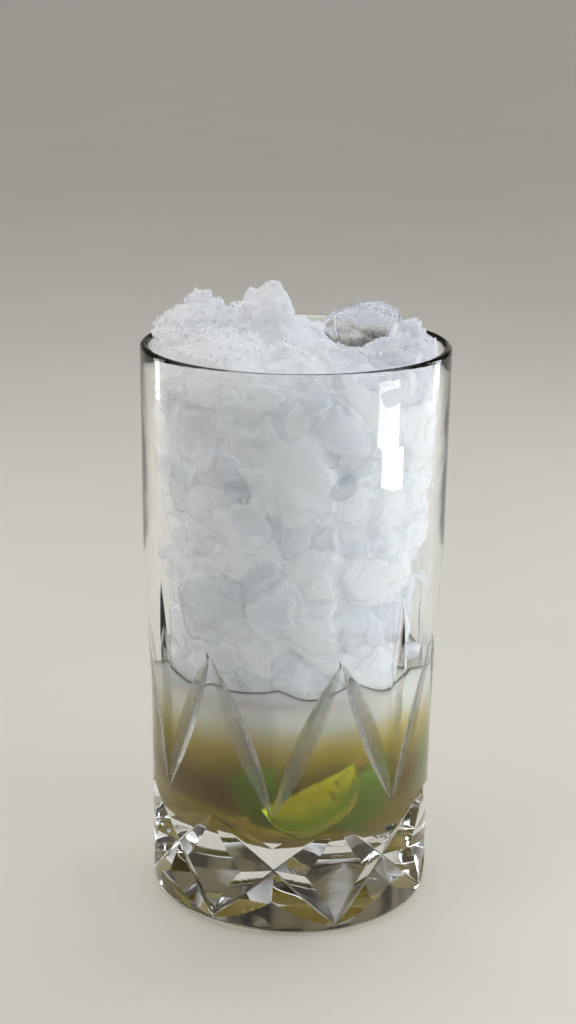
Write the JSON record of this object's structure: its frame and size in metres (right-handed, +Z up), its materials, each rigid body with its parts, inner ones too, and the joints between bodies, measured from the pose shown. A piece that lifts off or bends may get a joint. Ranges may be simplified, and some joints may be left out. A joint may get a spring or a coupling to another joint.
{
  "type": "caipirinha in a tall cut glass",
  "caption": "Tall thick-based tumbler with cut crosses and leaf fans, part filled with lime drink and heaped above its rim with crushed ice.",
  "frame": {"origin": "centre of the glass's flat foot, on the surface it stands on", "axes": "+Z up along the glass's axis; the side the drink is seen from faces -Y, with +X to its right"},
  "size_m": [0.08, 0.08, 0.166],
  "materials": {
    "crystal": "clear polished glass",
    "lime_drink": "cloudy golden-brown liquid",
    "crushed_ice": "wet frosted ice"
  },
  "bodies": {
    "root": {"glass": "crystal", "drink": "lime_drink", "ice": "crushed_ice"}
  },
  "joints": []
}
